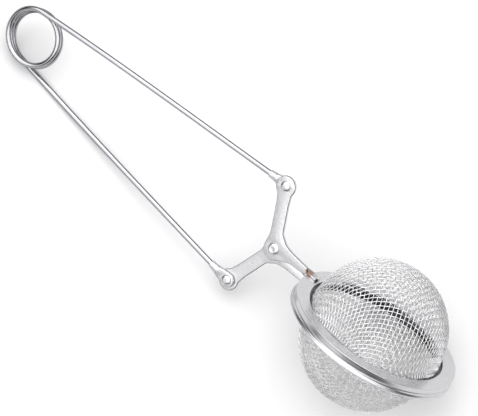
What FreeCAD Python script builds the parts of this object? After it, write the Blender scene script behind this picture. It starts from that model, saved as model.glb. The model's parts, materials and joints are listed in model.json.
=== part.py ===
"""Snap-ball tea infuser: two mesh bowls on levers, opened by squeezing a sprung wire handle.

Every piece is drawn in one design frame: X runs from the handle's coil to the ball, Y is the
direction in which the upper bowl opens, Z is the pivot axis and the main pivot is the origin.
A last common placement lays the closed infuser on its side, on the plane Z = 0.
The lower half is the upper half turned by 180 degrees about X.
"""
import FreeCAD, Part
import math
import os

import Sketcher
from FreeCAD import Placement, Rotation, Vector

X_AXIS = Vector(1, 0, 0)
Y_AXIS = Vector(0, 1, 0)
Z_AXIS = Vector(0, 0, 1)

# Driving dimensions in millimetres and degrees.
SIZES = {
    "half_gap": 0.05,            # each half stands this far from the parting planes
    "plate_thickness": 1.0,      # stamped levers and flattened ferrules
    "lever_reach": 18.1,         # main pivot to handle pivot
    "lever_angle": 112.2,       # bearing of the handle pivot from the main pivot
    "lobe_radius": 3.1,
    "pivot_lobe_radius": 3.2,
    "arm_half_width": 2.1,
    "blade_end": 12.35,          # the blade stops short of the rim
    "blade_top": 2.45,
    "blade_root_low": 2.6,
    "blade_waist": 6.6,
    "blade_low": 0.75,
    "tab_end": 16.2,             # welded tab on the rim's face
    "tab_width": 2.35,
    "pivot_hole": 1.05,
    "pivot_shank": 1.0,
    "pivot_head": 1.75,
    "leg_hole": 0.9,
    "leg_shank": 0.85,
    "leg_head": 1.5,
    "head_height": 0.65,
    "head_edge": 0.3,
    "running_gap": 0.05,
    "ball_centre": 37.7,
    "rim_radius": 25.0,
    "lower_rim_radius": 25.4,
    "rim_height": 1.6,
    "rim_edge": 0.35,
    "bowl_radius": 19.8,
    "bowl_wall": 0.45,
    "bowl_lift": 2.0,            # height of the dome's centre over the parting plane
    "hole_radius": 20.9,         # the dome rises through this hole in the rim
    "seat_top": 1.15,            # height of the step that grips the mesh
    "groove_floor": 0.45,
    "groove_height": 0.4,
    "groove_radius": 24.3,
    "wire_radius": 0.75,
    "coil_radius": 8.05,
    "coil_distance": 94.8,       # coil centre to main pivot
    "coil_pitch": 1.7,
    "coil_lean": 0.3,            # sideways shift of the coil for each unit along its axis
    "coil_cut": 2.4,             # degrees left open at the middle of the coil
    "leg_bow": 0.8,
    "ferrule_half_width": 2.1,
    "ferrule_neck": 1.25,
    "ferrule_plate": 4.4,
    "ferrule_length": 6.4,
    "ferrule_mouth": 1.05,
    "wire_depth": 2.2,           # length of wire crimped in the ferrule
    "rest_roll": 37.47,          # attitude in which the closed infuser lies
    "rest_pitch": 5.76,
}
COIL_ARCS = 12
HALF_COIL_TURN = 540.0           # bearing of the coil's middle, counted from +X

doc = FreeCAD.newDocument("tea_infuser")
sheet = doc.addObject("Spreadsheet::Sheet", "Sizes")


def fill_sheet():
    """Write each driving dimension in a cell of its own and name it."""
    for row, (alias, value) in enumerate(SIZES.items(), start=1):
        sheet.set("A%d" % row, alias)
        sheet.set("B%d" % row, str(value))
        sheet.setAlias("B%d" % row, alias)
    doc.recompute()


def size(alias):
    """Return the value that the sheet holds for an alias."""
    return float(getattr(sheet, alias))


def new_body(label):
    """Add a PartDesign body that stands for one sub-part."""
    body = doc.addObject("PartDesign::Body", label)
    body.Label = label
    return body


def new_sketch(body, name, role, height=None):
    """Add a sketch on one of the body's origin planes, raised by an expression."""
    sketch = body.newObject("Sketcher::SketchObject", name)
    plane = next(f for f in body.Origin.OriginFeatures if f.Role == role)
    sketch.AttachmentSupport = [(plane, "")]
    sketch.MapMode = "FlatFace"
    if height:
        sketch.setExpression("AttachmentOffset.Base.z", height)
    return sketch


def bind(sketch, kind, geometry, point, expression):
    """Dimension one point of a sketch from its origin with an expression."""
    index = sketch.addConstraint(
        Sketcher.Constraint(kind, geometry, point, float(sketch.evalExpression(expression))))
    sketch.setExpression("Constraints[%d]" % index, expression)


def draw_outline(sketch, corners):
    """Draw a closed outline whose corners are pairs of expressions."""
    points = [Vector(float(sketch.evalExpression(x)), float(sketch.evalExpression(y)), 0)
              for x, y in corners]
    for start, end in zip(points, points[1:] + points[:1]):
        sketch.addGeometry(Part.LineSegment(start, end))
    count = len(corners)
    for index, (x, y) in enumerate(corners):
        sketch.addConstraint(
            Sketcher.Constraint("Coincident", index - 1 if index else count - 1, 2, index, 1))
        bind(sketch, "DistanceX", index, 1, x)
        bind(sketch, "DistanceY", index, 1, y)


def draw_circle(sketch, centre, radius):
    """Draw a circle whose centre and radius are expressions."""
    x, y = centre
    middle = Vector(float(sketch.evalExpression(x)), float(sketch.evalExpression(y)), 0)
    sketch.addGeometry(
        Part.Circle(middle, Z_AXIS, float(sketch.evalExpression(radius))))
    bind(sketch, "DistanceX", 0, 3, x)
    bind(sketch, "DistanceY", 0, 3, y)
    index = sketch.addConstraint(
        Sketcher.Constraint("Radius", 0, float(sketch.evalExpression(radius))))
    sketch.setExpression("Constraints[%d]" % index, radius)


def pad(body, sketch, length):
    """Pad a sketch along its normal."""
    feature = body.newObject("PartDesign::Pad", sketch.Name + "_pad")
    feature.Profile = sketch
    feature.setExpression("Length", length)
    sketch.Visibility = False
    return feature


def pocket_through(body, sketch):
    """Cut a sketch through the whole body in both directions."""
    doc.recompute()
    feature = body.newObject("PartDesign::Pocket", sketch.Name + "_pocket")
    feature.Profile = sketch
    feature.Type = "ThroughAll"
    feature.Midplane = True
    return feature


def revolve(body, sketch):
    """Turn a sketch of the XZ plane about the body's Z axis."""
    feature = body.newObject("PartDesign::Revolution", sketch.Name + "_revolution")
    feature.Profile = sketch
    feature.ReferenceAxis = (sketch, ["V_Axis"])
    feature.Angle = 360
    return feature


def along_arm(distance, sideways):
    """Return the expressions of a point that lies along the lever's arm."""
    x = "%s * cos(Sizes.lever_angle) - %s * sin(Sizes.lever_angle)" % (distance, sideways)
    y = "%s * sin(Sizes.lever_angle) + %s * cos(Sizes.lever_angle)" % (distance, sideways)
    return x, y


def lever_pivot():
    """Return the handle pivot of the upper lever in the design frame."""
    angle = math.radians(size("lever_angle"))
    return Vector(math.cos(angle), math.sin(angle), 0) * size("lever_reach")


def leg_bearing():
    """Return the straight leg's bearing from the handle pivot to the coil, in degrees."""
    pivot = lever_pivot()
    span = math.hypot(pivot.x + size("coil_distance"), pivot.y)
    bearing = math.degrees(math.atan2(pivot.y, pivot.x + size("coil_distance")))
    return bearing + math.degrees(math.acos(size("coil_radius") / span)) + 90.0


def make_lever(label):
    """Stamped lever: two lobes, an arm, a blade and the tab that is welded to the rim."""
    body = new_body(label)
    base = "Sizes.half_gap"
    pivot = along_arm("Sizes.lever_reach", "0")
    half_width = "Sizes.arm_half_width"
    pieces = []

    arm = new_sketch(body, label + "_arm", "XY_Plane", base)
    draw_outline(arm, [along_arm("0", half_width), along_arm("0", "-" + half_width),
                       along_arm("Sizes.lever_reach", "-" + half_width),
                       along_arm("Sizes.lever_reach", half_width)])
    pieces.append(arm)

    blade = new_sketch(body, label + "_blade", "XY_Plane", base)
    draw_outline(blade, [("0", "Sizes.pivot_lobe_radius"), ("0", "-Sizes.pivot_lobe_radius"),
                         ("1.6", "-Sizes.blade_root_low"),
                         ("Sizes.blade_waist", "-Sizes.half_gap"),
                         ("Sizes.blade_end - 1", "Sizes.blade_low - 0.4"),
                         ("Sizes.blade_end", "Sizes.blade_low + 0.4"),
                         ("Sizes.blade_end", "Sizes.blade_top")])
    pieces.append(blade)

    for name, centre, radius in (("_pivot_lobe", ("0", "0"), "Sizes.pivot_lobe_radius"),
                                 ("_end_lobe", pivot, "Sizes.lobe_radius")):
        lobe = new_sketch(body, label + name, "XY_Plane", base)
        draw_circle(lobe, centre, radius)
        pieces.append(lobe)
    for sketch in pieces:
        pad(body, sketch, "Sizes.plate_thickness")

    tab = new_sketch(body, label + "_tab", "XY_Plane", base)
    face = "Sizes.half_gap + Sizes.rim_height"
    draw_outline(tab, [("Sizes.blade_end - 0.8", face), ("Sizes.tab_end", face),
                       ("Sizes.tab_end", "Sizes.blade_top"),
                       ("Sizes.blade_end - 0.8", "Sizes.blade_top")])
    pad(body, tab, "Sizes.tab_width")

    for name, centre, radius in (("_pivot_hole", ("0", "0"), "Sizes.pivot_hole"),
                                 ("_leg_hole", pivot, "Sizes.leg_hole")):
        hole = new_sketch(body, label + name, "XY_Plane")
        draw_circle(hole, centre, radius)
        pocket_through(body, hole)
    return body


def make_rim_ring(label, radius):
    """Folded rim: a channel that grips the mesh's edge, round a wider hole for the dome."""
    body = new_body(label)
    sketch = new_sketch(body, label + "_section", "XZ_Plane")
    inner = "Sizes.bowl_radius"
    hole = "Sizes.hole_radius"
    floor = "Sizes.half_gap"
    top = "Sizes.half_gap + Sizes.rim_height"
    groove_top = "Sizes.groove_floor + Sizes.groove_height"
    draw_outline(sketch, [(inner, floor), (radius + " - Sizes.rim_edge", floor),
                          (radius, floor + " + Sizes.rim_edge"),
                          (radius, top + " - Sizes.rim_edge"),
                          (radius + " - Sizes.rim_edge", top), (hole, top),
                          (hole, "Sizes.seat_top"), (inner, "Sizes.seat_top"),
                          (inner, groove_top), ("Sizes.groove_radius", groove_top),
                          ("Sizes.groove_radius", "Sizes.groove_floor"),
                          (inner, "Sizes.groove_floor")])
    revolve(body, sketch)
    return body


def cylinder(name, radius, height, base):
    """Add a Part cylinder on the Z axis, sized by expressions."""
    shape = doc.addObject("Part::Cylinder", name)
    shape.setExpression("Radius", radius)
    shape.setExpression("Height", height)
    shape.setExpression("Placement.Base.z", base)
    return shape


def half_sphere(name, radius):
    """Add the half of a sphere over the dome's centre."""
    shape = doc.addObject("Part::Sphere", name)
    shape.setExpression("Radius", radius)
    shape.Angle1 = 0
    shape.Angle2 = 90
    shape.setExpression("Placement.Base.z", "Sizes.bowl_lift")
    return shape


def cut(name, base, tool):
    """Subtract one shape from another."""
    result = doc.addObject("Part::Cut", name)
    result.Base = base
    result.Tool = tool
    return result


def make_mesh_bowl(label):
    """Mesh dome with the flat edge that the rim grips, as a thin closed shell."""
    outer = "Sizes.bowl_radius"
    inner = "Sizes.bowl_radius - Sizes.bowl_wall"
    band_height = "Sizes.bowl_lift - Sizes.groove_floor"
    dome = cut(label + "_dome", half_sphere(label + "_outside", outer),
               half_sphere(label + "_inside", inner))
    band = cut(label + "_band",
               cylinder(label + "_band_outside", outer, band_height, "Sizes.groove_floor"),
               cylinder(label + "_band_inside", inner, band_height, "Sizes.groove_floor"))
    edge = cut(label + "_edge",
               cylinder(label + "_edge_outside", "Sizes.groove_radius", "Sizes.groove_height",
                        "Sizes.groove_floor"),
               cylinder(label + "_edge_inside", inner, "Sizes.groove_height",
                        "Sizes.groove_floor"))
    bowl = doc.addObject("Part::MultiFuse", label)
    bowl.Shapes = [dome, band, edge]
    bowl.Refine = True
    bowl.Label = label
    return bowl


def make_rivet(label, shank, head, low_face, high_face):
    """Rivet with a shank on the Z axis and a chamfered head past each face."""
    body = new_body(label)
    sketch = new_sketch(body, label + "_section", "XZ_Plane")
    bottom = "%s - Sizes.head_height" % low_face
    top = "%s + Sizes.head_height" % high_face
    crown = "%s - Sizes.head_edge * 2" % head
    draw_outline(sketch, [("0", bottom), (crown, bottom), (head, bottom + " + Sizes.head_edge"),
                          (head, low_face), (shank, low_face), (shank, high_face),
                          (head, high_face), (head, top + " - Sizes.head_edge"), (crown, top),
                          ("0", top)])
    revolve(body, sketch)
    return body


def make_ferrule(label):
    """Flattened ferrule: an eye for the rivet that narrows to a round mouth on the wire."""
    eye = cylinder(label + "_eye", "Sizes.ferrule_half_width", "Sizes.plate_thickness",
                   "-Sizes.half_gap - Sizes.plate_thickness")
    plate = doc.addObject("Part::Wedge", label + "_plate")
    middle = "Sizes.half_gap + Sizes.plate_thickness / 2"
    for side, sign in (("min", "-"), ("max", "")):
        plate.setExpression("X" + side, sign + "Sizes.ferrule_half_width")
        plate.setExpression("X2" + side, sign + "Sizes.ferrule_neck")
        plate.setExpression("Z" + side, sign + "Sizes.plate_thickness / 2")
        plate.setExpression("Z2" + side, sign + "Sizes.plate_thickness / 2")
    plate.Ymin = 0
    plate.setExpression("Ymax", "Sizes.ferrule_plate")
    plate.setExpression("Placement.Base.z", "-(%s)" % middle)

    mouth = doc.addObject("Part::Cone", label + "_mouth")
    mouth.setExpression("Radius1", "Sizes.ferrule_neck")
    mouth.setExpression("Radius2", "Sizes.ferrule_mouth")
    mouth.setExpression("Height", "Sizes.ferrule_length - Sizes.ferrule_plate + 1")
    mouth.Placement = Placement(
        Vector(0, size("ferrule_plate") - 1, -size("half_gap") - size("plate_thickness") / 2),
        Rotation(X_AXIS, -90))

    blank = doc.addObject("Part::MultiFuse", label + "_blank")
    blank.Shapes = [eye, plate, mouth]
    hole = cylinder(label + "_hole", "Sizes.leg_shank", "Sizes.plate_thickness * 4",
                    "-Sizes.plate_thickness * 2")
    ferrule = cut(label, blank, hole)
    ferrule.Label = label
    return ferrule


def coil_point(angle):
    """Return the point of the coil's centreline at a bearing in degrees."""
    height = (HALF_COIL_TURN - angle) / 360.0 * size("coil_pitch")
    radians = math.radians(angle)
    radius = size("coil_radius")
    return Vector(radius * math.cos(radians) - size("coil_distance"),
                  radius * math.sin(radians) + height * size("coil_lean"), height)


def tangent_arc(start, tangent, end):
    """Return the arc that leaves start along a tangent and reaches end, and its last tangent."""
    chord = end - start
    along = Vector(chord).normalize()
    bisector = Vector(tangent + along).normalize()
    middle = start + bisector * (chord.Length / 2 / bisector.dot(along))
    return Part.Arc(start, middle, end).toShape(), along * (2 * along.dot(tangent)) - tangent


def leg_path():
    """Centreline of half of the handle: the bowed leg and half of the coil, as tangent arcs."""
    bearing = math.radians(leg_bearing())
    heading = Vector(math.cos(bearing), math.sin(bearing), 0)
    start = lever_pivot() + heading * (size("ferrule_length") - size("wire_depth"))
    start.z = -size("half_gap") - size("plate_thickness") / 2
    tangent_point = coil_point(leg_bearing() - 90.0)
    bow_turn = math.degrees(4 * size("leg_bow") / (tangent_point - start).Length)
    first = leg_bearing() - 90.0 + bow_turn
    step = (HALF_COIL_TURN - size("coil_cut") / 2 - first) / COIL_ARCS
    joint = coil_point(first)
    turned = math.radians(first + 90.0)
    tangent = Vector(math.cos(turned), math.sin(turned), 0)
    edges = [tangent_arc(joint, -tangent, start)[0]]
    for index in range(COIL_ARCS):
        end = coil_point(first + (index + 1) * step)
        edge, tangent = tangent_arc(joint, tangent, end)
        edges.append(edge)
        joint = end
    return Part.Wire(Part.__sortEdges__(edges))


def make_leg_wire(label):
    """Round wire swept along one leg and half of the coil."""
    path = doc.addObject("Part::Feature", label + "_path")
    path.Shape = leg_path()
    first_edge = path.Shape.Edges[0]
    tangent = first_edge.tangentAt(first_edge.FirstParameter)
    section = doc.addObject("Part::Circle", label + "_section")
    section.setExpression("Radius", "Sizes.wire_radius")
    section.Placement = Placement(first_edge.valueAt(first_edge.FirstParameter),
                                  Rotation(Z_AXIS, tangent))
    wire = doc.addObject("Part::Sweep", label)
    wire.Sections = [section]
    wire.Spine = (path, ["Edge%d" % (n + 1) for n in range(len(path.Shape.Edges))])
    wire.Solid = True
    wire.Frenet = False
    wire.Label = label
    return wire


def place_pieces(pieces):
    """Lay the closed infuser down and put the middle of its footprint at the origin."""
    rest = Placement(Vector(), Rotation(Y_AXIS, -size("rest_pitch"))
                     * Rotation(X_AXIS, size("rest_roll")))
    for piece, local in pieces:
        piece.Placement = rest * local
    doc.recompute()
    box = FreeCAD.BoundBox()
    for piece, _ in pieces:
        box.add(piece.Shape.optimalBoundingBox(True, False))
    rest.Base = Vector(-box.Center.x, -box.Center.y, -box.ZMin)
    for piece, local in pieces:
        piece.Placement = rest * local
    doc.recompute()
    return rest


def check_document(pieces):
    """Stop if any object failed or any sub-part isn't a sound solid."""
    for item in doc.Objects:
        if "Invalid" in item.State or "Error" in item.State:
            raise RuntimeError("%s failed: %s" % (item.Label, item.State))
    for piece, _ in pieces:
        if piece.Shape.isNull() or not piece.Shape.isValid() or piece.Shape.Volume <= 0:
            raise RuntimeError("%s has no valid shape" % piece.Label)
        if len(piece.Shape.Solids) != 1:
            raise RuntimeError("%s has %d solids" % (piece.Label, len(piece.Shape.Solids)))


fill_sheet()
upper = Placement()
lower = Placement(Vector(), Rotation(X_AXIS, 180))
at_rim = Placement(Vector(size("ball_centre"), 0, 0), Rotation(X_AXIS, -90))
at_leg_pivot = Placement(lever_pivot(), Rotation())
along_leg = Placement(lever_pivot(), Rotation(Z_AXIS, leg_bearing() - 90.0))

rear_plate = "-Sizes.half_gap - Sizes.plate_thickness"
front_plate = "Sizes.half_gap + Sizes.plate_thickness"
running_face = front_plate + " + Sizes.running_gap"
sub_parts = [(make_rivet("pivot_rivet", "Sizes.pivot_shank", "Sizes.pivot_head",
                         rear_plate + " - Sizes.running_gap", running_face), upper)]
for half, turn, rim in (("upper", upper, "Sizes.rim_radius"),
                        ("lower", lower, "Sizes.lower_rim_radius")):
    sub_parts += [
        (make_lever(half + "_lever"), turn),
        (make_rim_ring(half + "_rim_ring", rim), turn * at_rim),
        (make_mesh_bowl(half + "_mesh_bowl"), turn * at_rim),
        (make_ferrule(half + "_ferrule"), turn * along_leg),
        (make_rivet(half + "_leg_rivet", "Sizes.leg_shank", "Sizes.leg_head",
                    rear_plate, running_face), turn * at_leg_pivot),
        (make_leg_wire(half + "_leg_wire"), turn),
    ]
doc.recompute()
rest_placement = place_pieces(sub_parts)
check_document(sub_parts)

os.makedirs("parts", exist_ok=True)
for part, _ in sub_parts:
    part.Shape.exportStep("parts/%s.step" % part.Label)
    print("%-18s %9.2f mm3" % (part.Label, part.Shape.Volume))
print("rest placement", rest_placement)
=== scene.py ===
"""Looks of the snap-ball tea infuser: drawn wire, stamped levers, folded rims and woven mesh.

Pieces are drawn in millimetres in the infuser's own design frame, whose origin is the main
pivot: x runs from the handle's coil to the ball, y is the way the upper bowl opens and z is the
pivot axis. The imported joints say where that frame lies, and place_points() takes a point there.
"""
import json
import math

import bmesh
import bpy
import numpy as np
from mathutils import Matrix, Vector


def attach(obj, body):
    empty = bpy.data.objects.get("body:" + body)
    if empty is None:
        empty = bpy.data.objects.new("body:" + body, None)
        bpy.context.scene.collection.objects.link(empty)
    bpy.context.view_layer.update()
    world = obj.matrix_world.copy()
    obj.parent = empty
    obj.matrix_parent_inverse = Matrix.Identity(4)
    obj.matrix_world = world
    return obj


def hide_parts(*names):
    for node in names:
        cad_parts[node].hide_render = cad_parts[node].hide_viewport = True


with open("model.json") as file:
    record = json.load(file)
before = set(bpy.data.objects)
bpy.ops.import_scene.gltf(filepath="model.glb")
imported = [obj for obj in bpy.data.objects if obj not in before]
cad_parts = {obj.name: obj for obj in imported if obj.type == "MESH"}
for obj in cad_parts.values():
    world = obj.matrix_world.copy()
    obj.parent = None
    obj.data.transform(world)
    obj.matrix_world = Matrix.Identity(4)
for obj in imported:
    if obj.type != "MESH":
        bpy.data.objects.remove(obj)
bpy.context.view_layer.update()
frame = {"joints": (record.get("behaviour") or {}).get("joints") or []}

MM = 0.001

# Sizes of the real pieces in millimetres.
GAP = 0.05                   # each half stands this far from the parting planes
PLATE = 1.0                  # thickness of the levers and the ferrules' eyes
PLATE_CORNER = 0.2           # rounding of a lever's stamped edges
LEVER_REACH = 18.1           # main pivot to leg pivot
LEVER_ANGLE = math.radians(112.2)
LOBE_RADIUS = 3.1
PIVOT_LOBE_RADIUS = 3.2
LOBE_SWEEP = 2.35            # half of the end lobe's round stretch, in radians
ARM_HALF_WIDTH = 1.95
ARM_END = 13.0               # here the arm starts to widen into its lobe
BLADE_END = 12.35
PIVOT_HOLE = 1.05
PIVOT_SHANK = 1.0
PIVOT_HEAD = 1.75
LEG_HOLE = 0.9
LEG_SHANK = 0.85
LEG_HEAD = 1.5
HEAD_RISE = 0.65
RUNNING_GAP = 0.05
TAB_END = 16.2
TAB_THICKNESS = 0.8
TAB_CORNER = 0.14

BALL_CENTRE = 37.7           # main pivot to the ball's axis
RIM_RADIUS = 25.0
LOWER_RIM_RADIUS = 25.4      # the lower rim has a lip that the upper one drops into
RIM_TOP = GAP + 1.6
RIM_ROUNDING = 0.13
HOLE_RADIUS = 20.9
SEAT_RADIUS = 19.85
BOWL_LIFT = 2.0              # height of the domes' centres over the parting plane
MESH_RADIUS = 19.52
MESH_PITCH = 1.28
MESH_WIRE = 0.118
MESH_CRIMP = 0.115           # the wires wave this far in and out
MESH_FLOOR = -1.2            # the wires end at this height from the dome's centre
MESH_SPARE = 1.3             # the net is laid this much further down than the wires go
UPPER_MESH_SPIN = math.radians(38.0)
LOWER_MESH_SPIN = math.radians(20.0)
FLARE = 0.012                # the mesh widens by this share where the rim grips it
FLARE_TOP = 2.2

COIL_DISTANCE = 94.8         # main pivot to the coil's axis
COIL_RADIUS = 8.05
COIL_PITCH = 1.7
COIL_LEAN = 0.3              # sideways shift of the coil for each unit along its axis
COIL_MIDDLE = 3 * math.pi    # bearing at which one half of the coil ends
COIL_TONGUE = math.radians(30.0)
TONGUE_SHARE = 0.985         # radius of the hidden tongue as a share of the wire's
WIRE_RADIUS = 0.79
WIRE_DEPTH = 2.2             # length of wire inside the ferrule
LEG_BOW = 4 * 0.8 / 82.0     # turn of a leg bowed by 0.8 over its length of 82
FERRULE_LENGTH = 6.4
FERRULE_PLATE = 4.4          # length over which the ferrule narrows
FERRULE_EYE = 2.1
FERRULE_NECK = 1.3
FERRULE_MOUTH = 1.1

LEG_PIVOT = (LEVER_REACH * math.cos(LEVER_ANGLE), LEVER_REACH * math.sin(LEVER_ANGLE))


def design_frame():
    """Return the rotation and the origin of the design frame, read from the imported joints."""
    joints = {joint["name"]: joint for joint in frame["joints"]}
    origin = Vector(joints["jaw_pivot"]["pos_m"])
    pivot_axis = Vector(joints["jaw_pivot"]["axis"]).normalized()
    opening = Vector(joints["upper_leg_pivot"]["pos_m"]) - Vector(
        joints["lower_leg_pivot"]["pos_m"])
    opening = (opening - pivot_axis * opening.dot(pivot_axis)).normalized()
    along = opening.cross(pivot_axis)
    return Matrix((along, opening, pivot_axis)).transposed(), origin


AXES, ORIGIN = design_frame()
AXES_ARRAY = np.array(AXES)


def place_points(points, lower=False):
    """Take points from a half's design frame, in mm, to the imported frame, in metres."""
    turned = np.array(points, dtype=float)
    if lower:
        turned = turned * (1, -1, -1)
    return turned @ AXES_ARRAY.T * MM + np.array(ORIGIN)


# ---------------------------------------------------------------- meshes

def new_piece(name, points, faces, lower, uvs=None):
    """Make a mesh object from design-frame points; a lower piece is the upper one turned over."""
    mesh = bpy.data.meshes.new(name)
    mesh.from_pydata(place_points(points, lower).tolist(), [], faces)
    mesh.polygons.foreach_set("use_smooth", [True] * len(mesh.polygons))
    if uvs is not None:
        layer = mesh.uv_layers.new(name="UVMap")
        loops = np.zeros(len(mesh.loops), dtype=np.int32)
        mesh.loops.foreach_get("vertex_index", loops)
        layer.data.foreach_set("uv", np.asarray(uvs)[loops].ravel())
    mesh.update()
    piece = bpy.data.objects.new(name, mesh)
    bpy.context.scene.collection.objects.link(piece)
    return piece


def grid_faces(rows, columns, close_rows=False):
    """Return the quads of a grid of points whose columns close into loops."""
    row_count = rows if close_rows else rows - 1
    faces = []
    for row in range(row_count):
        low = row * columns
        high = ((row + 1) % rows) * columns
        faces += [(low + c, low + (c + 1) % columns, high + (c + 1) % columns, high + c)
                  for c in range(columns)]
    return faces


def cap_faces(rows, columns):
    """Return the two end faces of a grid of points whose columns close into loops."""
    last = (rows - 1) * columns
    return [tuple(range(columns - 1, -1, -1)), tuple(last + n for n in range(columns))]


def unit(vectors):
    """Scale each row to length 1."""
    return vectors / np.linalg.norm(vectors, axis=-1, keepdims=True)


def turn(points, angle):
    """Turn points about the z axis; returns their x and y."""
    x = points[:, 0] * math.cos(angle) - points[:, 1] * math.sin(angle)
    y = points[:, 0] * math.sin(angle) + points[:, 1] * math.cos(angle)
    return x, y


def tube(path, radii, sides, up=(0.0, 0.0, 1.0)):
    """Return the points, faces and UVs of a capped tube round a path."""
    tangents = unit(np.gradient(path, axis=0))
    sideways = unit(np.cross(tangents, np.broadcast_to(up, path.shape)))
    upward = np.cross(sideways, tangents)
    angles = np.linspace(0, 2 * math.pi, sides, endpoint=False)
    rings = (path[:, None, :] + radii[:, None, None]
             * (np.cos(angles)[None, :, None] * sideways[:, None, :]
                + np.sin(angles)[None, :, None] * upward[:, None, :]))
    length = np.concatenate([[0], np.cumsum(np.linalg.norm(np.diff(path, axis=0), axis=1))])
    uvs = np.stack(np.broadcast_arrays(length[:, None], angles[None, :]), axis=-1)
    faces = grid_faces(len(path), sides) + cap_faces(len(path), sides)
    return rings.reshape(-1, 3), faces, uvs.reshape(-1, 2)


def lathe(profile, segments, closed):
    """Turn a profile of (radius, height) about the z axis; returns points, faces and UVs."""
    profile = np.array(profile, dtype=float)
    angles = np.linspace(0, 2 * math.pi, segments, endpoint=False)
    rings = np.stack([profile[:, None, 0] * np.cos(angles), profile[:, None, 0] * np.sin(angles),
                      np.broadcast_to(profile[:, None, 1], (len(profile), segments))], axis=-1)
    uvs = np.stack(np.broadcast_arrays(angles[None, :], np.arange(len(profile))[:, None] * 0.1),
                   axis=-1)
    faces = grid_faces(len(profile), segments, close_rows=closed)
    if not closed:
        faces += cap_faces(len(profile), segments)
    return rings.reshape(-1, 3), faces, uvs.reshape(-1, 2)


def rounded(corners, radius, step=0.05):
    """Resample a closed outline evenly and round its corners with a running average."""
    corners = np.array(corners, dtype=float)
    points = []
    for start, end in zip(corners, np.roll(corners, -1, axis=0)):
        count = max(int(np.linalg.norm(end - start) / step), 1)
        points.append(start + (end - start) * np.arange(count)[:, None] / count)
    points = np.concatenate(points)
    reach = max(int(radius / step), 1)
    spread = 0.6 * reach
    weights = np.exp(-0.5 * (np.arange(-2 * reach, 2 * reach + 1) / spread) ** 2)
    weights /= weights.sum()
    padded = np.concatenate([points[-2 * reach:], points, points[:2 * reach]])
    return np.stack([np.convolve(padded[:, k], weights, mode="valid") for k in range(2)], axis=1)


# ---------------------------------------------------------------- rims

def rim_profile(lower):
    """Section of a folded rim as (radius, height over the parting plane)."""
    hole = [(HOLE_RADIUS, RIM_TOP), (HOLE_RADIUS, 1.0), (SEAT_RADIUS, 0.85), (SEAT_RADIUS, GAP)]
    if lower:
        lip = LOWER_RIM_RADIUS
        outside = [(24.85, GAP), (24.9, 0.75), (lip - 0.05, 1.0), (lip, 1.3), (25.1, RIM_TOP)]
    else:
        outside = [(24.9, GAP), (24.95, 1.2), (RIM_RADIUS, RIM_TOP)]
    return rounded(outside + hole, RIM_ROUNDING, step=0.03)[::3]


def make_rim(half, lower):
    """Folded rim with rounded edges, turned about the ball's axis."""
    points, faces, uvs = lathe(rim_profile(lower), 240, closed=True)
    points = np.stack([points[:, 0] + BALL_CENTRE, points[:, 2], -points[:, 1]], axis=1)
    return new_piece(half + "_rim", points, faces, lower, uvs)


# ---------------------------------------------------------------- woven bowls

def chebyshev_net(radius, step, reach):
    """Lay a square cloth on a dome without stretching its wires; returns its node grid."""
    chord_angle = step / radius
    size = 2 * reach + 1
    net = np.full((size, size, 3), np.nan)
    for index in range(-reach, reach + 1):
        angle = index * chord_angle
        net[reach + index, reach] = (radius * math.sin(angle), 0, radius * math.cos(angle))
        net[reach, reach + index] = (0, radius * math.sin(angle), radius * math.cos(angle))
    for x_sign in (-1, 1):
        for y_sign in (-1, 1):
            for i in range(1, reach + 1):
                for j in range(1, reach + 1):
                    first = net[reach + x_sign * (i - 1), reach + y_sign * j]
                    second = net[reach + x_sign * i, reach + y_sign * (j - 1)]
                    inner = net[reach + x_sign * (i - 1), reach + y_sign * (j - 1)]
                    normal = np.cross(first, second)
                    size_squared = normal @ normal
                    if not size_squared > 1e-3:
                        continue
                    net[reach + x_sign * i, reach + y_sign * j] = (
                        inner - 2 * (inner @ normal) / size_squared * normal)
    return net


def middle_run(good):
    """Return the ends of the run of good nodes nearest to a row's middle, or (0, 0)."""
    index = np.flatnonzero(good)
    if len(index) < 3:
        return 0, 0
    low = high = index[np.argmin(np.abs(index - len(good) // 2))]
    while low > 0 and good[low - 1]:
        low -= 1
    while high < len(good) - 1 and good[high + 1]:
        high += 1
    return low, high


def mesh_wires(net, parity):
    """Wave each row of nodes over and under the crossing wires; returns the wires' paths."""
    samples = 3
    paths = []
    for row, nodes in enumerate(net):
        good = np.isfinite(nodes[:, 0]) & (nodes[:, 2] > MESH_FLOOR - MESH_SPARE)
        low, high = middle_run(good)
        if high - low < 2:
            continue
        place = np.arange(low * samples, high * samples + 1) / samples
        path = np.stack([np.interp(place, np.arange(low, high + 1), nodes[low:high + 1, k])
                         for k in range(3)], axis=1)
        path = unit(path) * MESH_RADIUS
        wave = np.cos(math.pi * place) * (-1) ** row * parity * MESH_CRIMP
        path = path + unit(path) * wave[:, None]
        path[:, :2] *= 1 + FLARE * np.clip(1 - path[:, 2:] / FLARE_TOP, 0, None) ** 2
        path = path[path[:, 2] > MESH_FLOOR]
        if len(path) > 3:
            paths.append(path)
    return paths


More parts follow.
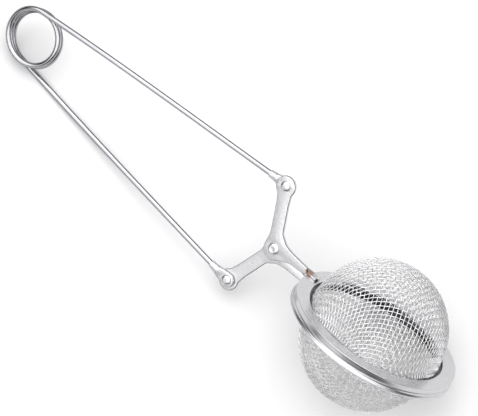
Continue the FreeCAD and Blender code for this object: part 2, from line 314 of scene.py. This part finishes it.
def make_mesh(half, lower):
    """Woven bowl: warp and weft wires of a pressed cloth, as two pieces."""
    reach = int(math.pi / 2 * MESH_RADIUS / MESH_PITCH) + 2
    net = chebyshev_net(MESH_RADIUS, MESH_PITCH, reach)
    spin = LOWER_MESH_SPIN if lower else UPPER_MESH_SPIN
    pieces = []
    for name, grid, parity in (("warp", net, 1), ("weft", net.transpose(1, 0, 2), -1)):
        points, faces, offset = [], [], 0
        for path in mesh_wires(grid, parity):
            radii = np.full(len(path), MESH_WIRE)
            ring, quads, _ = tube(path, radii, 6, up=unit(path.mean(axis=0) + 1e-6))
            faces += [tuple(offset + n for n in quad) for quad in quads]
            points.append(ring)
            offset += len(ring)
        points = np.concatenate(points)
        x, y = turn(points, spin)
        points = np.stack([x + BALL_CENTRE, points[:, 2] + BOWL_LIFT, -y], axis=1)
        pieces.append(new_piece("%s_mesh_%s" % (half, name), points, faces, lower))
    return pieces


# ---------------------------------------------------------------- levers

def lever_outline():
    """Outline of a lever in the plane of its plate: end lobe, arm, pivot lobe and blade."""
    along = np.array((math.cos(LEVER_ANGLE), math.sin(LEVER_ANGLE)))
    across = np.array((-along[1], along[0]))
    end = along * LEVER_REACH
    side = across * ARM_HALF_WIDTH
    lobe = [end + LOBE_RADIUS * (math.cos(a) * along + math.sin(a) * across)
            for a in np.linspace(-LOBE_SWEEP, LOBE_SWEEP, 30)]
    left = [along * ARM_END + side, along * 4.2 + side]
    pivot = [PIVOT_LOBE_RADIUS * np.array((math.cos(a), math.sin(a)))
             for a in np.linspace(math.radians(190), math.radians(290), 16)]
    low_edge = [(2.6, -2.1), (4.2, -1.2), (5.8, -0.35), (7.4, 0.0), (9.4, 0.05), (11.0, 0.25),
                (12.2, 0.8), (BLADE_END, 1.7), (BLADE_END, 2.45)]
    top_edge = [(9.0, 2.6), (5.0, 2.85), (2.6, 3.35)]
    right = [along * 4.9 - side, along * ARM_END - side]
    corners = [*lobe, *left, *pivot, *low_edge, *top_edge, *right]
    return rounded(corners, 0.55)[::4]


def plate_shape(name, outline, holes, thickness, bevel):
    """Fill an outline with round holes and give it rounded edges; returns points and faces."""
    curve = bpy.data.curves.new(name, "CURVE")
    curve.dimensions = "2D"
    curve.fill_mode = "BOTH"
    curve.extrude = thickness / 2 - bevel
    curve.bevel_depth = bevel
    curve.bevel_resolution = 3
    curve.offset = -bevel
    loops = [np.asarray(outline)]
    for (x, y), radius in holes:
        angles = np.linspace(0, 2 * math.pi, 32, endpoint=False)
        loops.append(np.stack([x + radius * np.cos(angles), y + radius * np.sin(angles)], axis=1))
    for loop in loops:
        spline = curve.splines.new("POLY")
        spline.points.add(len(loop) - 1)
        for point, (x, y) in zip(spline.points, loop):
            point.co = (x, y, 0, 1)
        spline.use_cyclic_u = True
    holder = bpy.data.objects.new(name + "_curve", curve)
    bpy.context.scene.collection.objects.link(holder)
    depsgraph = bpy.context.evaluated_depsgraph_get()
    mesh = bpy.data.meshes.new_from_object(holder.evaluated_get(depsgraph))
    points = np.zeros(len(mesh.vertices) * 3)
    mesh.vertices.foreach_get("co", points)
    faces = [tuple(polygon.vertices) for polygon in mesh.polygons]
    bpy.data.objects.remove(holder)
    bpy.data.curves.remove(curve)
    bpy.data.meshes.remove(mesh)
    return points.reshape(-1, 3), faces


def weld_and_shade(piece, angle=35.0):
    """Join doubled points, face everything outwards and shade smooth up to an angle."""
    work = bmesh.new()
    work.from_mesh(piece.data)
    bmesh.ops.remove_doubles(work, verts=work.verts, dist=2e-6)
    bmesh.ops.recalc_face_normals(work, faces=work.faces)
    work.to_mesh(piece.data)
    work.free()
    piece.data.shade_smooth()
    piece.data.set_sharp_from_angle(angle=math.radians(angle))


def make_lever(half, lower):
    """Stamped lever plate with its folded, spot-welded tab."""
    points, faces = plate_shape(half + "_lever_plate", lever_outline(),
                                [((0, 0), PIVOT_HOLE), (LEG_PIVOT, LEG_HOLE)], PLATE,
                                PLATE_CORNER)
    points[:, 2] += GAP + PLATE / 2
    plate = new_piece(half + "_lever_shape", points, faces, lower)
    weld_and_shade(plate)

    tab_corners = [(11.2, 0.06), (15.4, 0.06), (TAB_END, 0.5), (TAB_END, 2.0), (15.5, 2.4),
                   (12.6, 2.4), (12.1, 2.0), (11.8, 1.2), (11.2, 1.04)]
    points, faces = plate_shape(half + "_tab_plate", rounded(tab_corners, 0.3)[::5], [],
                                TAB_THICKNESS, TAB_CORNER)
    height = RIM_TOP + TAB_THICKNESS / 2
    points = np.stack([points[:, 0], points[:, 2] + height, points[:, 1]], axis=1)
    tab = new_piece(half + "_tab_shape", points, faces, lower)
    weld_and_shade(tab)

    bpy.ops.object.select_all(action="DESELECT")
    plate.select_set(True)
    tab.select_set(True)
    bpy.context.view_layer.objects.active = plate
    bpy.ops.object.join()
    plate.name = half + "_lever_piece"
    return plate


# ---------------------------------------------------------------- handle

def leg_bearing():
    """Bearing of the straight leg from its pivot to the coil, in radians."""
    x = LEG_PIVOT[0] + COIL_DISTANCE
    y = LEG_PIVOT[1]
    return math.atan2(y, x) + math.acos(COIL_RADIUS / math.hypot(x, y)) + math.pi / 2


def coil_point(angle):
    """Point of the coil's centreline at a bearing in radians."""
    height = (COIL_MIDDLE - angle) / (2 * math.pi) * COIL_PITCH
    return np.array((COIL_RADIUS * math.cos(angle) - COIL_DISTANCE,
                     COIL_RADIUS * math.sin(angle) + height * COIL_LEAN, height))


def hermite(start, start_way, end, end_way, count):
    """Smooth curve between two points with given directions."""
    t = np.linspace(0, 1, count)[:, None]
    return ((2 * t ** 3 - 3 * t ** 2 + 1) * start + (t ** 3 - 2 * t ** 2 + t) * start_way
            + (3 * t ** 2 - 2 * t ** 3) * end + (t ** 3 - t ** 2) * end_way)


def leg_centreline(tongue):
    """Wire's centreline from inside the ferrule along the leg and round half of the coil."""
    bearing = leg_bearing()
    heading = np.array((math.cos(bearing), math.sin(bearing), 0.0))
    pivot = np.array((*LEG_PIVOT, -GAP - PLATE / 2))
    mouth = pivot + heading * (FERRULE_LENGTH - 0.4)
    socket = pivot + heading * (FERRULE_LENGTH - WIRE_DEPTH)
    first = bearing - math.pi / 2 + LEG_BOW
    lead = coil_point(first)
    lead_way = coil_point(first + 1e-4) - lead
    lead_way = lead_way / np.linalg.norm(lead_way)
    span = np.linalg.norm(lead - mouth)
    leg = hermite(mouth, heading * span, lead, lead_way * span, 120)
    coil = np.array([coil_point(a) for a in np.linspace(first, COIL_MIDDLE + tongue, 170)])
    return np.concatenate([socket[None], leg, coil[1:]])


def make_leg_wire(half, lower):
    """One leg and half of the coil; the upper half's end runs on inside the lower half."""
    tongue = 0.0 if lower else COIL_TONGUE
    path = leg_centreline(tongue)
    radii = np.full(len(path), WIRE_RADIUS)
    if tongue:
        bearings = np.arctan2(path[:, 1], path[:, 0] + COIL_DISTANCE)
        near_end = np.arange(len(path)) > len(path) - 20
        radii[near_end & (np.sin(bearings) < 0)] = WIRE_RADIUS * TONGUE_SHARE
    points, faces, uvs = tube(path, radii, 28)
    return new_piece(half + "_wire", points, faces, lower, uvs)


def make_ferrule(half, lower):
    """Flattened tube: a rounded eye that narrows and swells to a round mouth on the wire."""
    eye, neck, mouth = FERRULE_EYE, FERRULE_NECK, FERRULE_MOUTH
    stations = np.concatenate([-eye * np.cos(np.linspace(0.02, math.pi / 2, 14)),
                               np.linspace(0.3, FERRULE_LENGTH, 26)])
    rings = []
    sides = 40
    angles = np.linspace(0, 2 * math.pi, sides, endpoint=False)
    for t in stations:
        blend = min(max((t - 1.6) / 3.0, 0.0), 1.0)
        blend = blend * blend * (3 - 2 * blend)
        if t < 0:
            half_width = math.sqrt(max(eye * eye - t * t, 0.01))
        else:
            half_width = eye + (neck - eye) * min(t / FERRULE_PLATE, 1.0)
        half_width += (mouth - neck) * max(
            (t - FERRULE_PLATE) / (FERRULE_LENGTH - FERRULE_PLATE), 0.0)
        half_height = PLATE / 2 + (mouth - PLATE / 2) * blend
        power = 2 / (5.0 + (2.0 - 5.0) * blend)
        x = half_width * np.sign(np.cos(angles)) * np.abs(np.cos(angles)) ** power
        z = half_height * np.sign(np.sin(angles)) * np.abs(np.sin(angles)) ** power
        rings.append(np.stack([x, np.full(sides, t), z], axis=1))
    points = np.concatenate(rings)
    x, y = turn(points, leg_bearing() - math.pi / 2)
    points = np.stack([x + LEG_PIVOT[0], y + LEG_PIVOT[1], points[:, 2] - GAP - PLATE / 2],
                      axis=1)
    faces = grid_faces(len(stations), sides) + cap_faces(len(stations), sides)
    piece = new_piece(half + "_ferrule_piece", points, faces, lower)
    weld_and_shade(piece, 50.0)
    return piece


# ---------------------------------------------------------------- rivets

def make_rivet(name, centre, shank, head, low, high, dimple, lower=False):
    """Rivet with domed heads; a dimple leaves the mark of the peening tool."""
    crown = HEAD_RISE - dimple
    dome = [(head, 0.0), (head, 0.22), (head * 0.93, 0.42), (head * 0.75, 0.57),
            (head * 0.5, 0.64), (head * 0.28, crown), (0.02, crown)]
    profile = [(r, low - h) for r, h in reversed(dome)]
    profile += [(shank, low), (shank, high)]
    profile += [(r, high + h) for r, h in dome]
    points, faces, uvs = lathe(profile, 48, closed=False)
    piece = new_piece(name, points + np.array((*centre, 0.0)), faces, lower, uvs)
    weld_and_shade(piece, 50.0)
    return piece


# ---------------------------------------------------------------- materials

def fill_ramp(ramp, stops):
    """Give a colour ramp node its stops, each a place and a colour."""
    elements = ramp.color_ramp.elements
    while len(elements) < len(stops):
        elements.new(0.5)
    for element, (place, colour) in zip(elements, stops):
        element.position = place
        element.color = (*colour, 1.0)


class Shader:
    """Small helper that adds and links nodes in one material."""

    def __init__(self, name):
        self.material = bpy.data.materials.new(name)
        self.material.use_nodes = True
        self.nodes = self.material.node_tree.nodes
        self.links = self.material.node_tree.links
        self.bsdf = self.nodes["Principled BSDF"]
        self.coordinates = self.nodes.new("ShaderNodeTexCoord")

    def base(self):
        """Return the socket that the base colour comes from."""
        return self.bsdf.inputs["Base Color"].links[0].from_socket

    def distance_to(self, place):
        """Return the distance from a place in the piece's own coordinates, in metres."""
        node = self.nodes.new("ShaderNodeVectorMath")
        node.operation = "DISTANCE"
        node.inputs[1].default_value = place
        self.links.new(self.coordinates.outputs["Object"], node.inputs[0])
        return node.outputs["Value"]

    def noise(self, scale, detail=4.0, stretch=None, source="Object", roughness=0.55):
        """Noise texture on stretched coordinates."""
        mapping = self.nodes.new("ShaderNodeMapping")
        mapping.inputs["Scale"].default_value = stretch or (1, 1, 1)
        self.links.new(self.coordinates.outputs[source], mapping.inputs["Vector"])
        noise = self.nodes.new("ShaderNodeTexNoise")
        noise.inputs["Scale"].default_value = scale
        noise.inputs["Detail"].default_value = detail
        noise.inputs["Roughness"].default_value = roughness
        self.links.new(mapping.outputs["Vector"], noise.inputs["Vector"])
        return noise.outputs["Fac"]

    def remap(self, value, low, high, start=0.3, end=0.7):
        """Map a value's middle range to another range."""
        node = self.nodes.new("ShaderNodeMapRange")
        node.inputs["From Min"].default_value = start
        node.inputs["From Max"].default_value = end
        node.inputs["To Min"].default_value = low
        node.inputs["To Max"].default_value = high
        self.links.new(value, node.inputs["Value"])
        return node.outputs["Result"]

    def mix(self, factor, first, second):
        """Mix two colours by a factor; each is a colour or a socket."""
        node = self.nodes.new("ShaderNodeMix")
        node.data_type = "RGBA"
        self.links.new(factor, node.inputs[0])
        for socket, value in ((node.inputs[6], first), (node.inputs[7], second)):
            if isinstance(value, tuple):
                socket.default_value = (*value, 1.0)
            else:
                self.links.new(value, socket)
        return node.outputs[2]

    def bump(self, value, strength, distance, under=None):
        """Bump from a height; distance is in metres."""
        node = self.nodes.new("ShaderNodeBump")
        node.inputs["Strength"].default_value = strength
        node.inputs["Distance"].default_value = distance
        self.links.new(value, node.inputs["Height"])
        if under:
            self.links.new(under, node.inputs["Normal"])
        return node.outputs["Normal"]


def metal(name, dark, bright, rough, bumps, grain=2500.0, stretch=None, source="Object"):
    """Steel with mottled colour and roughness and one or more layers of bump."""
    shader = Shader(name)
    shader.bsdf.inputs["Metallic"].default_value = 1.0
    mottle = shader.noise(grain, stretch=stretch, source=source)
    shader.links.new(shader.mix(shader.remap(mottle, 0.0, 1.0), dark, bright),
                     shader.bsdf.inputs["Base Color"])
    wear = shader.noise(grain * 0.31, detail=6.0, stretch=stretch, source=source)
    shader.links.new(shader.remap(wear, *rough), shader.bsdf.inputs["Roughness"])
    normal = None
    for scale, strength, distance in bumps:
        height = shader.noise(scale, detail=3.0, stretch=stretch, source=source)
        normal = shader.bump(height, strength, distance, normal)
    if normal:
        shader.links.new(normal, shader.bsdf.inputs["Normal"])
    return shader


def add_heat_tint(shader, places, radius):
    """Brown straw tint round the spot welds, mixed over the steel's own colour."""
    base = shader.base()
    for place in places:
        distance = shader.distance_to(place)
        scatter = shader.remap(shader.noise(900.0), -0.3 * radius, 0.3 * radius)
        total = shader.nodes.new("ShaderNodeMath")
        total.operation = "ADD"
        shader.links.new(distance, total.inputs[0])
        shader.links.new(scatter, total.inputs[1])
        mask = shader.remap(total.outputs["Value"], 0.85, 0.0, 0.35 * radius, radius)
        base = shader.mix(mask, base, (0.23, 0.11, 0.05))
    shader.links.new(base, shader.bsdf.inputs["Base Color"])


def darken_grazing(shader, tint):
    """Dull the steel towards its grazing edges."""
    shader.bsdf.inputs["Specular Tint"].default_value = (*tint, 1.0)


def paint_corner_shade(shader, colour):
    """Painted shade: a dark line along a lever's rounded corners, found from the pivot axis."""
    base = shader.base()
    facing = shader.nodes.new("ShaderNodeVectorMath")
    facing.operation = "DOT_PRODUCT"
    facing.inputs[1].default_value = tuple(AXES.col[2])
    shader.links.new(shader.coordinates.outputs["Normal"], facing.inputs[0])
    size = shader.nodes.new("ShaderNodeMath")
    size.operation = "ABSOLUTE"
    shader.links.new(facing.outputs["Value"], size.inputs[0])
    ramp = shader.nodes.new("ShaderNodeValToRGB")
    stops = ((0.0, 0.0), (0.12, 0.0), (0.3, 1.0), (0.86, 1.0), (0.97, 0.0))
    fill_ramp(ramp, [(place, (mask, mask, mask)) for place, mask in stops])
    shader.links.new(size.outputs["Value"], ramp.inputs["Fac"])
    shader.links.new(shader.mix(ramp.outputs["Color"], base, colour),
                     shader.bsdf.inputs["Base Color"])


def paint_throat_shade(shader, reach, colour):
    """Painted shade inside the folded rim, where the mesh is crimped in."""
    distance = shader.distance_to(tuple(place_points([(BALL_CENTRE, 0.0, 0.0)])[0]))
    edge = 0.00005
    mask = shader.remap(distance, 1.0, 0.0, reach, reach + edge)
    shader.links.new(shader.mix(mask, shader.base(), colour), shader.bsdf.inputs["Base Color"])


def weld_places():
    """Middle of each lever's weld tab, in metres."""
    spot = [(13.0, RIM_TOP + TAB_THICKNESS, 1.3)]
    return [tuple(place_points(spot, lower)[0]) for lower in (False, True)]


drawn_wire = metal("drawn_wire", (0.37, 0.37, 0.385), (0.46, 0.46, 0.475), (0.09, 0.2),
                   [(5.0, 0.12, 0.00002), (1.4, 0.2, 0.00005)], grain=6.0,
                   stretch=(0.12, 1.0, 1.0), source="UV")
lever_steel = metal("tumbled_lever", (0.52, 0.52, 0.53), (0.72, 0.72, 0.73), (0.24, 0.42),
                    [(1400.0, 0.35, 0.00008), (5200.0, 0.3, 0.00004)], grain=3200.0)
ferrule_steel = metal("tumbled_ferrule", (0.36, 0.36, 0.38), (0.74, 0.74, 0.75), (0.26, 0.5),
                      [(1900.0, 0.55, 0.00012), (5200.0, 0.4, 0.00006)], grain=3600.0)
rivet_steel = metal("rivet_steel", (0.56, 0.56, 0.57), (0.74, 0.74, 0.75), (0.16, 0.3),
                    [(1500.0, 0.25, 0.00006)], grain=2600.0)
rim_steel = metal("satin_rim", (0.52, 0.52, 0.535), (0.66, 0.66, 0.67), (0.2, 0.34),
                  [(60.0, 0.12, 0.00002)], grain=26.0, stretch=(0.25, 1.0, 1.0), source="UV")
mesh_steel = metal("woven_wire", (0.64, 0.635, 0.64), (0.86, 0.85, 0.855), (0.22, 0.36),
                   [(9000.0, 0.2, 0.00002)], grain=420.0)
darken_grazing(drawn_wire, (0.2, 0.2, 0.22))
# painted shade: a dark line along the levers' rounded corners
paint_corner_shade(lever_steel, (0.05, 0.05, 0.055))
# painted shade on the rims' inner walls, near the ball's centre
paint_throat_shade(rim_steel, 0.02096, (0.06, 0.06, 0.065))
add_heat_tint(lever_steel, weld_places(), 0.0022)
add_heat_tint(rim_steel, weld_places(), 0.0026)


def finish_piece(piece, shader, body, slot, *nodes):
    """Give a piece its material, its body and the nodes it stands for; the slot argument is not
    used.
    """
    piece.data.materials.clear()
    piece.data.materials.append(shader.material)
    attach(piece, body)
    if nodes:
        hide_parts(*nodes)


for half, lower in (("upper", False), ("lower", True)):
    jaw, leg = half + "_jaw", half + "_leg"
    finish_piece(make_rim(half, lower), rim_steel, jaw, "rim_steel", half + "_rim_ring")
    warp, weft = make_mesh(half, lower)
    finish_piece(warp, mesh_steel, jaw, "mesh_steel", half + "_mesh_bowl")
    finish_piece(weft, mesh_steel, jaw, "mesh_steel")
    finish_piece(make_lever(half, lower), lever_steel, jaw, "lever_steel", half + "_lever")
    finish_piece(make_leg_wire(half, lower), drawn_wire, leg, "spring_wire",
                 half + "_leg_wire")
    finish_piece(make_ferrule(half, lower), ferrule_steel, leg, "ferrule_steel",
                 half + "_ferrule")
    leg_rivet = make_rivet(half + "_rivet", LEG_PIVOT, LEG_SHANK, LEG_HEAD, low=-GAP - PLATE,
                           high=GAP + PLATE + RUNNING_GAP, dimple=0.0, lower=lower)
    finish_piece(leg_rivet, rivet_steel, leg, "rivet_steel", half + "_leg_rivet")
main_rivet = make_rivet("main_rivet", (0, 0), PIVOT_SHANK, PIVOT_HEAD,
                        low=-GAP - PLATE - RUNNING_GAP, high=GAP + PLATE + RUNNING_GAP,
                        dimple=0.12)
finish_piece(main_rivet, rivet_steel, "lower_jaw", "rivet_steel", "pivot_rivet")


# ---------------------------------------------------------------- floor, light and camera

def plain_material(name, colour, roughness):
    """Matt material with a faint mottle for the floor."""
    shader = Shader(name)
    shader.bsdf.inputs["Roughness"].default_value = roughness
    soft = tuple(0.985 * channel for channel in colour)
    shader.links.new(shader.mix(shader.noise(30.0), soft, colour),
                     shader.bsdf.inputs["Base Color"])
    return shader.material


def make_floor():
    """Plain pale floor on the plane that the infuser lies on."""
    bpy.ops.mesh.primitive_plane_add(size=6.0, location=(0, 0, 0))
    floor = bpy.context.object
    floor.name = "floor"
    floor.data.materials.append(plain_material("floor_white", (0.62, 0.62, 0.62), 0.6))


def make_world():
    """Soft white studio with a darker band low down, which the bright steel reflects."""
    world = bpy.data.worlds.new("studio")
    bpy.context.scene.world = world
    world.use_nodes = True
    nodes, links = world.node_tree.nodes, world.node_tree.links
    coordinates = nodes.new("ShaderNodeTexCoord")
    split = nodes.new("ShaderNodeSeparateXYZ")
    links.new(coordinates.outputs["Generated"], split.inputs["Vector"])
    ramp = nodes.new("ShaderNodeValToRGB")
    ramp.color_ramp.interpolation = "EASE"
    stops = ((0.0, 0.02), (0.40, 0.03), (0.52, 0.50), (0.62, 1.0), (1.0, 1.0))
    fill_ramp(ramp, [(place, (grey, grey, grey * 1.01)) for place, grey in stops])
    links.new(split.outputs["Z"], ramp.inputs["Fac"])
    background = nodes["Background"]
    background.inputs["Strength"].default_value = 2.2
    links.new(ramp.outputs["Color"], background.inputs["Color"])


def add_area(name, direction, distance, size, power):
    """Round area light that looks at the infuser from a direction."""
    light = bpy.data.lights.new(name, "AREA")
    light.energy = power
    light.shape = "DISK"
    light.size = size
    holder = bpy.data.objects.new(name, light)
    place = Vector(direction).normalized() * distance
    holder.location = place
    holder.rotation_euler = (-place).to_track_quat("-Z", "Y").to_euler()
    bpy.context.scene.collection.objects.link(holder)


def make_camera():
    """Long lens above the infuser, placed in its design frame."""
    forward = Vector((-0.3258, -0.4096, -0.8521)).normalized()
    up = Vector((-0.6230, 0.7709, -0.1325))
    target = Vector((-14.06, 3.76, 3.57))
    distance = 1515.0
    right = forward.cross(up).normalized()
    up = right.cross(forward)
    attitude = AXES @ Matrix((right, up, -forward)).transposed()
    data = bpy.data.cameras.new("camera")
    data.sensor_width = 36.0
    data.lens = 413.9
    data.clip_end = 20.0
    camera = bpy.data.objects.new("camera", data)
    place = ORIGIN + AXES @ (target - forward * distance) * MM
    camera.matrix_world = Matrix.Translation(place) @ attitude.to_4x4()
    bpy.context.scene.collection.objects.link(camera)
    bpy.context.scene.camera = camera


make_floor()
make_world()
add_area("key", (-0.3, 0.5, 1.6), distance=1.3, size=1.0, power=3.2)
add_area("lever_glow", (-0.30, -0.87, 0.41), distance=0.9, size=0.6, power=0.75)
make_camera()
scene = bpy.context.scene
scene.view_settings.view_transform = "Standard"
